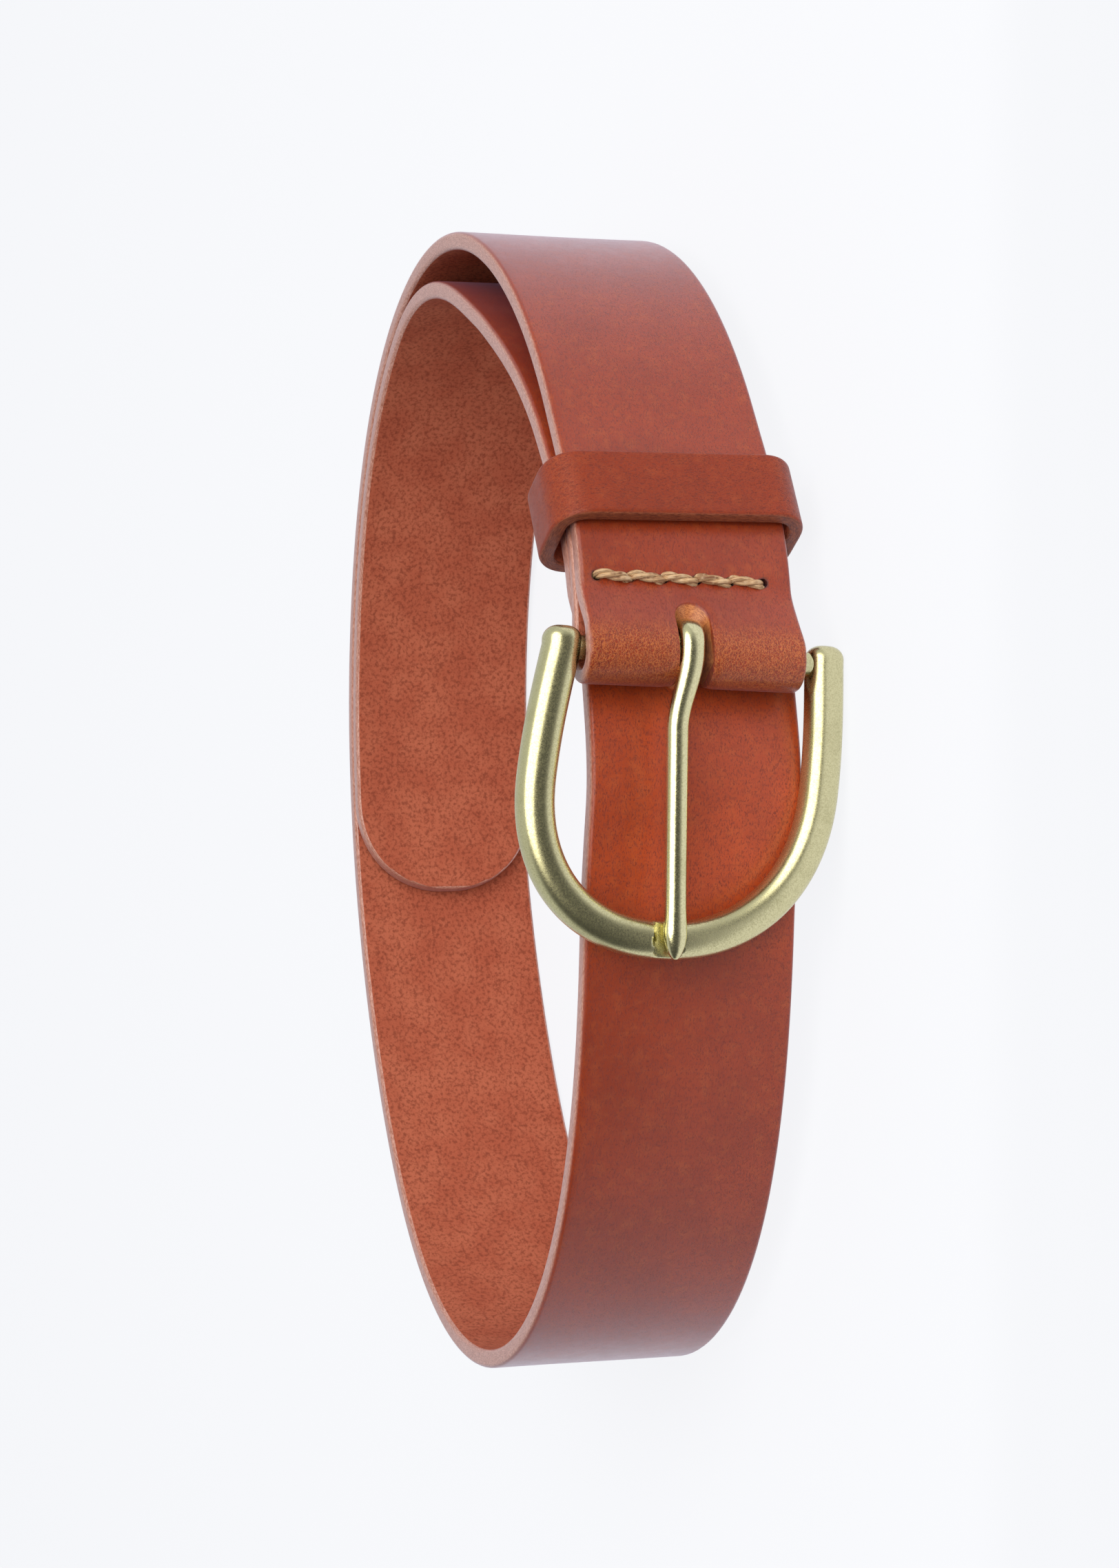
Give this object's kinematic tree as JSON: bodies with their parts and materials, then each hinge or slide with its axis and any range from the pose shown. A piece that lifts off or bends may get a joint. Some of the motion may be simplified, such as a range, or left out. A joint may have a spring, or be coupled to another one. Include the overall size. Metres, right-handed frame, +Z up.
{
  "type": "leather belt",
  "caption": "Brown leather belt rolled up on its edge, with a cast brass horseshoe buckle, a loose pointed prong, a stitched turnback and a sliding leather keeper.",
  "frame": {"origin": "middle of the bounding box on the surface that the rolled belt stands on", "axes": "+Z up across the strap's width, +X along the roll's long way with the turnback on the right, -Y out of the buckle's front"},
  "size_m": [0.2258, 0.1792, 0.0617],
  "materials": {
    "strap_leather": "waxed grain outside, bare flesh side inside",
    "waxed_thread": "twisted waxed thread",
    "frame_brass": "satin cast brass",
    "prong_brass": "satin brass",
    "keeper_leather": "waxed grain outside, cut edges bare",
    "keeper_waxed_thread": "twisted waxed thread"
  },
  "bodies": {
    "strap": {"strap": "strap_leather", "turnback_thread": "waxed_thread"},
    "buckle": {"buckle_frame": "frame_brass"},
    "prong": {"prong": "prong_brass"},
    "keeper": {"keeper": "keeper_leather", "keeper_thread": "keeper_waxed_thread"}
  },
  "joints": [
    {"name": "buckle_swing", "type": "hinge", "parent": "strap", "child": "buckle", "pos_m": [0.02413, -0.08114, 0.02818], "axis": [0.0575, 0.0514, 0.997], "range_deg": [0, 45]},
    {"name": "prong_swing", "type": "hinge", "parent": "buckle", "child": "prong", "pos_m": [0.02413, -0.08114, 0.02818], "axis": [0.0575, 0.0514, 0.997], "range_deg": [0, 70]},
    {"name": "keeper_slide", "type": "slide", "parent": "strap", "child": "keeper", "axis": [0.8664, 0.4991, -0.0131], "range_m": [-0.004, 0.005]}
  ]
}
